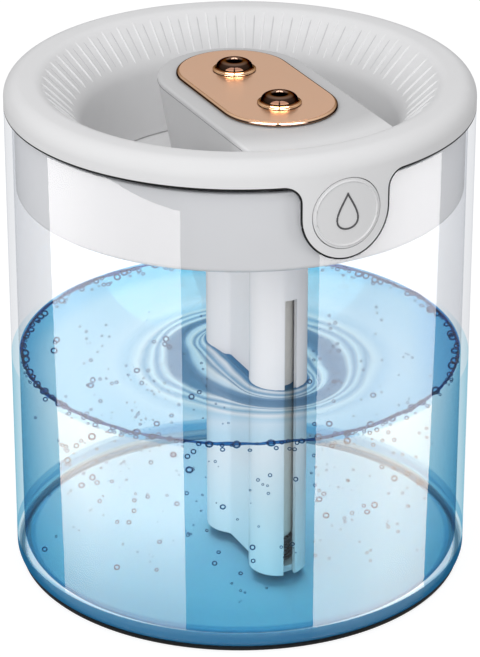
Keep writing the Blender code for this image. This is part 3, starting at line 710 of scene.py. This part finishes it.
def make_bubbles():
    """Bubbles in clusters all through the water."""
    places = []
    while len(places) < 440:
        angle = random.uniform(0, TAU)
        radius = INNER * math.sqrt(random.uniform(0.05, 0.93))
        z = random.uniform(TANK_FLOOR + 4 * MM, WATER_LEVEL - 4 * MM)
        size = random.choice((0.4, 0.5, 0.6, 0.7, 0.8, 1.0, 1.3, 1.6)) * MM * random.uniform(0.85, 1.15)
        x, y = radius * math.cos(angle), radius * math.sin(angle)
        if radius > INNER - 5 * MM or not clear_of_tower(x, y, 2 * MM):
            continue
        for _ in range(random.choice((1, 1, 1, 2, 3))):
            centre = Vector((x, y, z)) + Vector([random.uniform(-3, 3) * MM for _ in range(3)])
            if math.hypot(centre.x, centre.y) > INNER - 3 * MM or centre.z < TANK_FLOOR + 2.5 * MM:
                continue
            if centre.z > WATER_LEVEL - 3 * MM or not clear_of_tower(centre.x, centre.y, 1.5 * MM):
                continue
            grown = size * random.uniform(0.6, 1.0)
            if any((centre - other).length < grown + reach + 0.2 * MM for other, reach, _ in places):
                continue
            places.append((centre, grown, random.uniform(0.75, 1.0)))
    spheres("water_bubbles", places)


def make_waterline():
    """Beads in two rows along the wall, and the dark uneven line where the water meets it."""
    beads = []
    # how far each row hangs, the sizes of its beads and the gaps between them, in mm
    rows = ((0.0, (0.8, 1.0, 1.3, 1.7), (0.05, 0.1, 0.3, 1.5, 4.0)),
            (-2.6, (0.5, 0.7, 1.0), (0.2, 3.0, 8.0, 14.0)))
    for drop, sizes, gaps in rows:
        angle = 0.0
        while angle < TAU:
            size = random.choice(sizes) * MM * random.uniform(0.85, 1.1)
            radius = INNER - 0.5 * MM - size
            z = WATER_LEVEL + (drop + random.uniform(-0.7, 0.7)) * MM - size * 0.3
            centre = Vector((radius * math.cos(angle), radius * math.sin(angle), z))
            beads.append((centre, size, random.uniform(0.65, 0.95)))
            angle += (2.05 * size + random.choice(gaps) * MM) / radius
    spheres("waterline_beads", beads)

    line, thick = [], []
    for x, y in circle(INNER - 1.1 * MM, FINE * 3):
        wave = 0.5 * MM * noise.noise(Vector((x, y, 0)) * 60)
        wave += 0.35 * MM * noise.noise(Vector((x, y, 0.3)) * 170)
        line.append((x, y, WATER_LEVEL + 0.25 * MM + wave))
        thick.append((0.62 + 0.45 * noise.noise(Vector((x, y, 0.7)) * 110)) * MM)
    dress(tube("waterline", line, thick, closed=True), "waterline", "tank", sharp=180)


# ---- lid, upper shell
def make_top_shell():
    bottom = BOWL_BOTTOM - BOWL_TRIM
    path = lid_path(17, 10)
    # an arc that leaves the funnel at 45 degrees and ends along the bowl's wall
    path += arc((THROAT_RADIUS + 0.9017 * THROAT_ROUND, THROAT_Z - 0.5127 * THROAT_ROUND), THROAT_ROUND,
                135, 165.7, 12)
    path += [(BOWL_RADIUS, bottom)]
    under = inset(lid_path(6, 4) + [(THROAT_RADIUS, THROAT_Z), (BOWL_RADIUS, bottom)], -SHELL)
    under[0] = (TANK_RADIUS - TAB_THICKNESS, TAB_LOW)
    under[-1] = (BOWL_RADIUS + SHELL, bottom)
    shell = turned("lid_shell", under + path[::-1], loop=True)

    outer, inner, start = TANK_RADIUS + PAST, TANK_RADIUS - PAST, TAB_LOW - PAST
    band = [(outer, RIM_BOTTOM), (outer, start), (inner, start), (inner, RIM_BOTTOM)]
    below_rim = turned("below_rim", band, loop=True)
    tab = tab_outline(0, TANK_TOP + PAST, TANK_TOP + 0.9 * MM)
    cut(below_rim, drawn_out("tab", tab, -99 * MM, -50 * MM))
    cut(shell, below_rim)

    rounding = 1.3 * MM
    sections = [(bridge_outline(BRIDGE_HALF_BOTTOM - BRIDGE_SLOPE * MM, -BRIDGE_END), BOWL_BOTTOM - MM)]
    for back, up in soft_edge(rounding):
        z = BRIDGE_TOP - rounding + up
        half = BRIDGE_HALF_TOP - BRIDGE_SLOPE * (BRIDGE_TOP - z) - back
        sections.append((bridge_outline(half, -BRIDGE_END), z))
    join(shell, loft("bridge", sections))
    below = BRIDGE_HALF_BOTTOM - SHELL - BRIDGE_SLOPE * PAST
    above = BRIDGE_HALF_TOP - SHELL - BRIDGE_SLOPE * SHELL
    end = -BRIDGE_END - 4 * MM
    cut(shell, loft("cavity", [(bridge_outline(below, end), BOWL_BOTTOM - PAST),
                               (bridge_outline(above, end), BRIDGE_TOP - SHELL)]))
    drill(shell, TANK_RADIUS - PAST, BOWL_BOTTOM - 12 * MM, BOWL_BOTTOM)
    drill_nozzles(shell, NOZZLE_HOLE, 190 * MM, RIM_TOP + MM)
    cut(shell, lying_cylinder("button_hole", BUTTON_HOLE, -TANK_RADIUS - PAST, -80 * MM))
    low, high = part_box("usb_inlet")
    slack = 0.3 * MM
    cut(shell, box("inlet", (low.x - slack, 80 * MM, low.z - slack),
                   (high.x + slack, 95 * MM, high.z + slack)))
    dress(shell, "lid_white", "lid", ["lid_top_shell"], sharp=32)


def make_bridge_seam():
    """The fine line between the bridge's top and its side: a dark grey wire, a painted shadow along the seam.
    """
    drop = 2.0 * MM
    outline = bridge_outline(BRIDGE_HALF_TOP - BRIDGE_SLOPE * drop + 0.02 * MM, -63 * MM)
    points = [(x, y, BRIDGE_TOP - drop) for x, y in outline[-1:] + outline[:-1]]
    dress(tube("bridge_seam", points, 0.16 * MM, sides=8), "seam", "lid", sharp=180)


def make_ridges(name, material, shift, profile, clear):
    """Thin lines down the funnel, 60 round the lid. profile holds (across, out) points in mm, and clear is
    the angle left out on each side of the front."""
    shape = bmesh.new()
    lines, stations = 60, 13
    high = Vector((75.4 * MM, 199.3 * MM))
    low = Vector((THROAT_RADIUS + 2.3 * MM, THROAT_Z + 2.3 * MM))
    down = (low - high).normalized()
    out = Vector((down.y, -down.x))
    length = (low - high).length
    for k in range(lines):
        turn = TAU * (k + shift) / lines
        from_front = abs((math.degrees(turn) - 270 + 180) % 360 - 180)
        if from_front < clear:
            continue
        radial = Vector((math.cos(turn), math.sin(turn), 0))
        across = Vector((-math.sin(turn), math.cos(turn), 0))
        rings = []
        for i in range(stations):
            t = i / (stations - 1)
            point = high + down * length * t
            size = min(1.0, math.sin(math.pi * min(1.0, max(0.0, t * 1.02 - 0.01))) * 2.6) ** 0.6
            width = 0.75 + 0.25 * (1 - t)
            ring = []
            for a, b in profile:
                off = out * (b * MM * (0.25 + 0.75 * size) - 0.12 * MM * (1 - size))
                place = radial * (point.x + off.x) + Vector((0, 0, point.y + off.y)) + across * a * MM * width
                ring.append(shape.verts.new(place))
            rings.append(ring)
        skin(shape, rings)
    dress(from_bmesh(name, shape), material, "lid", sharp=60)


def make_ribs():
    """Raised ribs down the funnel, in plastic painted a little lighter than the lid as a highlight, each with
    a painted shadow line between it and the next.
    """
    ridge = [(-0.70, -0.35), (-0.44, 0.16), (-0.22, 0.52), (0.10, 0.58), (0.36, 0.30), (0.62, -0.35)]
    make_ridges("lid_ribs", "rib_painted_highlight", 0.5, ridge, 31)
    # a painted shadow line: a thin, low grey strip between two ribs, not a groove
    shadow_line = [(-0.42, -0.30), (-0.30, 0.05), (0.0, 0.12), (0.30, 0.05), (0.42, -0.30)]
    make_ridges("lid_rib_shadows", "rib_painted_shadow", 0.0, shadow_line, 95)


def make_gasket():
    """The black line under the rim, which drops round the tab: a black rubber seal, and a painted shadow line
    in the gap between lid and tank.
    """
    radius = TANK_RADIUS - 0.4 * MM
    height = (TANK_TOP + RIM_BOTTOM) / 2
    left, low, right = tab_edge(TAB_GAP / 2, height, 17, 61)
    outline = left[:-1] + low + right[1:]
    line = [(x, -math.sqrt(radius * radius - x * x), z) for x, z in outline]
    start = math.atan2(line[-1][1], line[-1][0])
    end = math.atan2(line[0][1], line[0][0]) + TAU
    count = 300
    for i in range(1, count):
        turn = start + (end - start) * i / count
        line.append((radius * math.cos(turn), radius * math.sin(turn), height))
    seam = tube("rim_seal", line, 0.4 * MM, closed=True)
    dress(seam, "black_rubber", "lid", ["rim_gasket"], sharp=180)


# ---- lid, lower shell
def make_base_shell():
    inner = SKIRT_RADIUS - SKIRT_WALL
    edge = 0.5 * MM
    profile = [(0, PAN_FLOOR), (inner, PAN_FLOOR), (inner, SKIRT_TOP - edge)]
    profile += cup(inner, SKIRT_RADIUS, SKIRT_TOP, PAN_UNDERSIDE, edge, 2 * MM)
    shell = turned("lid_base", profile)
    guide = [(0, GUIDE_TOP), (GUIDE_RADIUS, GUIDE_TOP), (GUIDE_RADIUS, COLLAR_LOW + edge),
             (GUIDE_RADIUS - edge, COLLAR_LOW), (0, COLLAR_LOW)]
    for name, y in NOZZLE_Y.items():
        join(shell, turned("guide_" + name, guide, 96, (0, y)))
    drill_nozzles(shell, GUIDE_BORE, COLLAR_LOW - MM, GUIDE_TOP + MM)
    head_radius, head_depth = SCREW_HEAD_HOLE
    start = PAN_UNDERSIDE - MM
    for number in range(1, 5):
        low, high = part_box(f"case_screw_{number}")
        at = ((low.x + high.x) / 2, (low.y + high.y) / 2)
        drill(shell, head_radius, start, PAN_UNDERSIDE + head_depth, at, 48)
        drill(shell, SCREW_HOLE, start, PAN_FLOOR + MM, at, 48)
    cut(shell, lying_cylinder("stem_hole", STEM_HOLE, -92 * MM, -80 * MM, 48))
    dress(shell, "white_gloss", "lid", ["lid_base_shell"], sharp=32)


# ---- nozzle plate, nozzles and button
def make_plate():
    """The plate with its rounded edge, and the satin face that lies on it."""
    def outline(back=0.0):
        return stadium(PLATE_HALF - back, *PLATE_ENDS)
    rounding, chamfer = 1.15 * MM, 0.3 * MM
    sections = [(outline(chamfer), PLATE_LOW), (outline(), PLATE_LOW + chamfer)]
    sections += [(outline(back), PLATE_HIGH - rounding + up) for back, up in soft_edge(rounding)]
    edge = loft("plate_edge", sections)
    face = loft("plate_face", [(outline(1.2 * MM), PLATE_HIGH + rise * MM) for rise in (-0.02, 0.03)])
    for piece, gold in ((edge, "edge_gold"), (face, "rose_gold")):
        drill_nozzles(piece, NOZZLE_HOLE, 198 * MM, 203 * MM)
        dress(piece, gold, "lid", ["nozzle_plate"], sharp=40)


def make_nozzle(name, y):
    """A domed mist outlet: a hole in the top, a round shoulder and a thin flared foot."""
    low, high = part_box("nozzle_ring_" + name)
    base, top = PLATE_HIGH + 0.3 * MM, high.z
    hole, dome, shoulder, neck = 2.6 * MM, 7.0 * MM, 3.6 * MM, 4.6 * MM
    foot = base + 0.7 * MM
    profile = [(hole, low.z), (hole, base + 1.2 * MM)]
    profile += arc((hole + 0.9 * MM, top - 0.8 * MM), 0.8 * MM, 190, 90, 9)
    profile += [(shoulder + (dome - shoulder) * math.sin(turn), foot + (top - foot) * math.cos(turn) ** 0.9)
                for turn in (math.radians(degrees) for degrees in range(10, 90, 5))]
    profile += [(dome, foot)]
    profile += arc((dome + 0.75 * MM, base + 0.75 * MM), 0.6 * MM, 180, 262, 6)
    profile += [(high.x - 0.1 * MM, base + 0.14 * MM), (high.x, base + 0.08 * MM), (high.x, base)]
    profile += [(neck, base), (neck, low.z)]
    ring = turned("nozzle_" + name, profile, 96, (0, y), loop=True)
    dress(ring, "dome_gold", "lid", ["nozzle_ring_" + name], sharp=60)


def make_button():
    """A button that follows the tank's curve, with a raised ring and a plain water-drop mark."""
    stem_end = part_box("power_button")[1].y
    inner = TANK_RADIUS - TAB_THICKNESS + 0.2 * MM
    low, high = TAB_Z - 16 * MM, TAB_Z + 16 * MM
    band = [(inner, high), (TANK_RADIUS, high), (TANK_RADIUS, low), (inner, low)]
    cap = turned("button_cap", band, FINE * 2, loop=True)
    boolean(cap, "INTERSECT", lying_cylinder("round", BUTTON_RADIUS, -TANK_RADIUS - PAST, -80 * MM))
    join(cap, lying_cylinder("stem", STEM_RADIUS, -TANK_RADIUS + MM, stem_end, 48))
    dress(cap, "white_matte", "button", ["power_button"], sharp=40)

    def on_tank(x, z):
        return (x, -math.sqrt(TANK_RADIUS * TANK_RADIUS - x * x), z)
    ring = [on_tank(x, TAB_Z + z) for x, z in circle(BUTTON_RING, 96)]
    dress(tube("button_ring", ring, 0.42 * MM, closed=True), "white_gloss", "button",
          sharp=180)
    drop = []
    for k in range(72):
        t = TAU * k / 72
        width = 6.0 * MM * math.sin(t) * math.sin(t / 2) ** 1.5
        rise = 7.2 * MM * math.cos(t) * (1 if math.cos(t) > 0 else 0.92)
        drop.append(on_tank(width, TAB_Z + 0.6 * MM + rise))
    dress(tube("button_mark", drop, 0.36 * MM, closed=True, sides=8), "print_grey", "button",
          sharp=180)


# ---- tower, wicks and springs
def tower_outline(grow=0.0):
    """Two round tubes joined by a waist, with soft inner corners."""
    front, rear = NOZZLE_Y["front"], NOZZLE_Y["rear"]
    radius, waist, soft = TUBE_RADIUS + grow, WEB_HALF + grow, 4 * MM
    shift = math.sqrt((radius + soft) ** 2 - (waist + soft) ** 2)
    lean = math.degrees(math.atan2(shift, waist + soft))
    right = arc((0, front), radius, -90, lean, 33)
    right += arc((waist + soft, front + shift), soft, 180 + lean, 180, 7)[1:]
    right += arc((waist + soft, rear - shift), soft, 180, 180 - lean, 7)
    right += arc((0, rear), radius, -lean, 90, 33)[1:]
    left = [(-x, y) for x, y in reversed(right)][1:-1]
    return right + left


def make_tower():
    edge = 0.5 * MM
    sections = [(tower_outline(-edge), TOWER_LOW), (tower_outline(), TOWER_LOW + edge),
                (tower_outline(), TOWER_HIGH - edge), (tower_outline(-edge * 0.5), TOWER_HIGH)]
    tower = loft("tower_body", sections)
    for name, y in NOZZLE_Y.items():
        low = TOWER_LOW - MM
        drill(tower, TUBE_BORE, low, TOWER_HIGH + MM, (0, y))
        ends = sorted((y, y + (20 * MM if name == "rear" else -20 * MM)))
        slot = [(SLOT_HALF, low), (SLOT_HALF, SLOT_TOP), (-SLOT_HALF, SLOT_TOP), (-SLOT_HALF, low)]
        cut(tower, drawn_out("slot", slot, *ends))
    dress(tower, "tower_white", "lid", ["wick_tower"], sharp=35)


def make_wick(name, y):
    low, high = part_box("wick_" + name)
    shape = bmesh.new()
    steps, rows = 64, 90
    rings = []
    for i in range(rows + 1):
        t = i / rows
        z = low.z + (high.z - low.z) * t
        edge = min(1.0, min(t, 1 - t) * 30 + 0.80)
        ring = []
        for k, (a, b) in enumerate(circle(1, steps)):
            wrinkle = noise.noise(Vector((a * 3, b * 3, z * 160)))
            radius = high.x * edge * (0.985 + 0.012 * wrinkle) - 0.05 * MM * (k % 2)
            ring.append(shape.verts.new((radius * a, y + radius * b, z)))
        rings.append(ring)
    skin(shape, rings)
    wick = "wick_" + name
    dress(from_bmesh("wick_core_" + name, shape), "cotton", wick, [wick], sharp=50)


def make_spring(name, y):
    """A coil with closer turns at both ends."""
    low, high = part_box("wick_spring_" + name)
    wire, turns = 0.5 * MM, 6.5
    radius = high.x - wire
    tall = high.z - low.z - 2 * wire
    count = int(turns * 40)
    points = []
    for i in range(count + 1):
        t = i / count
        turn = TAU * turns * t
        z = low.z + wire + tall * (t - math.sin(TAU * t) * 0.08)
        points.append((radius * math.cos(turn), y + radius * math.sin(turn), z))
    coil = tube("spring_" + name, points, wire)
    dress(coil, "steel", "lid", ["wick_spring_" + name], sharp=60)
    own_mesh(coil)


# ---- everything that keeps its CAD shape
def dress_nodes():
    starts = {
        "silicone": ("disc_seal",),
        "ceramic": ("atomizer_disc",),
        "white_matte": ("disc_holder", "spring_plug"),
        "steel": ("usb_inlet", "tact_switch", "board_screw", "case_screw"),
        "circuit_board": ("control_board", "switch_board", "inlet_board"),
        "lead_insulation": ("supply_lead", "disc_lead"),
    }
    for slot, names in starts.items():
        for name, node in NODES.items():
            if name.startswith(names):
                node.data.materials.clear()
                node.data.materials.append(MATERIAL[slot])


# ---- studio
AIM = Vector((0, 0, 94.2 * MM))
CAMERA_DISTANCE = 1.26
CAMERA_LIFT = math.radians(25.1)
CAMERA_TURN = math.radians(-25.5)
CAMERA_LENS = 175.4
CARD_LIGHT = 10.6
WINDOW_LIGHT = 13.0
ROOM_LIGHT = 0.65
KEY_POWER = 11.0


def make_camera():
    flat = math.cos(CAMERA_LIFT)
    back = Vector((math.sin(CAMERA_TURN) * flat, -math.cos(CAMERA_TURN) * flat, math.sin(CAMERA_LIFT)))
    data = bpy.data.cameras.new("camera")
    data.lens = CAMERA_LENS
    data.sensor_width = 36
    data.clip_start = 0.05
    camera = put("camera", data)
    camera.location = AIM + back * CAMERA_DISTANCE
    camera.rotation_euler = back.to_track_quat("Z", "Y").to_euler()
    bpy.context.scene.camera = camera
    return camera


def shine_on(light, *names):
    """Lets a lamp or a bright pane light only the pieces named."""
    lit = bpy.data.collections.new(light.name + "_lights")
    for name in names:
        lit.objects.link(bpy.data.objects[name])
    light.light_linking.receiver_collection = lit


def mirror_in(pane, material, *names):
    """Makes a pane glow, seen only as a reflection in the pieces named."""
    pane.data.materials.append(material)
    pane.visible_camera = pane.visible_diffuse = pane.visible_transmission = False
    pane.visible_shadow = pane.visible_volume_scatter = False
    shine_on(pane, *names)


def card_light(name, near):
    """A card's glow, which falls to the share near where the card meets the tank."""
    n = new_material(name)
    radius = n.position()[3]
    strength = n.spread(radius, near * CARD_LIGHT, CARD_LIGHT, TANK_RADIUS, TANK_RADIUS + 100 * MM)
    return n.glow(strength, (1.0, 0.81, 0.63))


def card_edge(camera, turn, reach):
    """A point of the tank wall and where a camera ray that is mirrored there runs to, in plan."""
    angle = CAMERA_TURN - math.pi / 2 + turn
    normal = Vector((math.cos(angle), math.sin(angle)))
    start = normal * (TANK_RADIUS + 0.5 * MM)
    ray = (start - camera.location.xy).normalized()
    mirrored = ray - 2 * ray.dot(normal) * normal
    return start, start + mirrored * reach


def make_cards(camera):
    """Two bright cards on the floor, mirrored in the tank as its two tall pale bands."""
    # each card's first and last turn, in degrees from the camera's side, and its light near the tank
    spans = {"left": (-49.6, -13.3, 0.38), "right": (18.2, 53.4, 0.84)}
    reach, count = 1100 * MM, 13
    for name, (low, high, near_share) in spans.items():
        turns = [math.radians(low + (high - low) * i / (count - 1)) for i in range(count)]
        edges = [card_edge(camera, turn, reach) for turn in turns]
        outline = [near for near, _ in edges] + [far for _, far in reversed(edges)]
        shape = bmesh.new()
        verts = [shape.verts.new((*point, 0.2 * MM)) for point in outline]
        for i in range(count - 1):
            shape.faces.new((verts[i], verts[i + 1], verts[-2 - i], verts[-1 - i]))
        card = from_bmesh("card_" + name, shape)
        mirror_in(card, card_light("card_light_" + name, near_share), "tank_shell")


def toward(turn, lift, distance=1.0):
    """The point at this turn from the camera's side (to its right) and this height angle, from AIM."""
    angle = CAMERA_TURN + math.radians(turn) - math.pi / 2
    lift = math.radians(lift)
    flat = math.cos(lift) * distance
    return AIM + Vector((flat * math.cos(angle), flat * math.sin(angle), distance * math.sin(lift)))


def make_windows():
    """Two bright panes behind and above the camera, mirrored in the polished gold."""
    for name, (low, high) in {"left": (-56, -5), "right": (5, 56)}.items():
        shape = bmesh.new()
        shape.faces.new([shape.verts.new(toward(turn, lift, 1.5)) for turn, lift in
                         ((low, 12), (high, 12), (high, 78), (low, 78))])
        pane = from_bmesh("window_" + name, shape, normals=False)
        light = new_material("window_light_" + name).glow(WINDOW_LIGHT)
        mirror_in(pane, light, "nozzle_front", "nozzle_rear", "plate_edge")


def make_floor():
    """A white floor seen from above, clear from below, and open where the foot hides it."""
    n = new_material("floor_white")
    white = n.mix(n.noise(3, 2), (0.60, 0.60, 0.60, 1), (0.62, 0.62, 0.62, 1))
    matte = n.shader("BsdfDiffuse", {"Color": white})
    glow = n.shader("Emission", {"Color": (1, 1, 1, 1), "Strength": 0.80})
    lit = n.shader("AddShader", {0: n.blend(0.45, matte), 1: glow})
    top = n.blend(n.add("LightPath").outputs["Is Camera Ray"], matte, lit)
    n.finish(n.blend(n.outside(), n.shader("BsdfTransparent"), top))
    shape = bmesh.new()
    steps, hidden, reach = 64, FOOT_RADIUS - 4 * MM, 12.0
    inner, outer = ([shape.verts.new((x, y, 0)) for x, y in circle(radius, steps)]
                    for radius in (hidden, reach))
    for k in range(steps):
        j = (k + 1) % steps
        shape.faces.new((inner[k], outer[k], outer[j], inner[j]))
    floor = from_bmesh("floor", shape, normals=False)
    floor.data.materials.append(n.owner)
    floor.location.z = -0.2 * MM


def make_world():
    """An even, dim room for the light it gives, one with a dark horizon for what mirrors, and a white
    backdrop."""
    world = bpy.data.worlds.new("studio")
    bpy.context.scene.world = world
    n = Nodes(world, "OutputWorld")
    height = n.add("SeparateXYZ", {"Vector": n.add("TexCoord").outputs["Generated"]}).outputs["Z"]
    mirrored = n.ramp(height, [
        (0.0, (0.06, 0.06, 0.06)), (0.16, (0.08, 0.08, 0.0804)), (0.24, (0.55, 0.55, 0.55275)),
        (0.5, (0.68, 0.68, 0.6834)), (1.0, (0.95, 0.95, 0.95)),
    ])
    rays = n.add("LightPath").outputs
    room = n.mix(rays["Is Glossy Ray"], (ROOM_LIGHT, ROOM_LIGHT, ROOM_LIGHT * 1.01, 1), mirrored)
    seen = n.mix(rays["Is Camera Ray"], room, (1, 1, 1, 1))
    n.finish(n.shader("Background", {"Color": seen}))


def area(name, place, size, power, aim=AIM):
    data = bpy.data.lights.new(name, "AREA")
    data.shape = "RECTANGLE"
    data.size, data.size_y = size
    data.energy = power
    lamp = put(name, data)
    lamp.location = place
    lamp.rotation_euler = (Vector(place) - aim).to_track_quat("Z", "Y").to_euler()
    return lamp


def fill(name, place, size, power, height, *names):
    """A lamp that nothing mirrors, aimed at a height on the Z axis, for the pieces named."""
    lamp = area(name, place, size, power, aim=Vector((0, 0, height)))
    lamp.visible_camera = lamp.visible_glossy = lamp.visible_transmission = False
    shine_on(lamp, *names)
    return lamp.data


def make_studio(camera):
    make_floor()
    make_cards(camera)
    make_windows()
    make_world()
    key = area("softbox", toward(-18, 36, 1.7), (1.1, 1.1), KEY_POWER)
    key.visible_glossy = False
    under = fill("floor_fill", (0, 0, 150 * MM), (150 * MM, 150 * MM), 0.38, 0, "foot_centre")
    under.shape = "DISK"
    fill("tower_fill", toward(8, 6, 0.7), (0.25, 0.3), 1.0, 80 * MM,
         "tower_body", "wick_core_front", "wick_core_rear", "spring_front", "spring_rear")
    side = fill("tower_side", toward(-72, 8, 0.7), (0.2, 0.3), 1.5, 80 * MM, "tower_body")
    side.color = (1.0, 0.955, 0.90)
    for name, turn, power in (("skirt_left", -110, 2.4), ("skirt_side", 64, 0.7), ("skirt_right", 110, 1.7)):
        fill(name, toward(turn, 3, 0.8), (0.15, 0.3), power, 170 * MM, "lid_base")
    scene = bpy.context.scene
    scene.view_settings.view_transform = "Standard"
    scene.view_settings.look = "None"
    scene.cycles.caustics_reflective = False
    scene.cycles.transparent_max_bounces = 32
    scene.cycles.max_bounces = 10


def main():
    make_tank()
    make_foot()
    make_water()
    make_bubbles()
    make_waterline()
    make_top_shell()
    make_ribs()
    make_bridge_seam()
    make_gasket()
    make_base_shell()
    make_plate()
    for name, y in NOZZLE_Y.items():
        make_nozzle(name, y)
        make_wick(name, y)
        make_spring(name, y)
    make_button()
    make_tower()
    dress_nodes()
    make_studio(make_camera())


main()
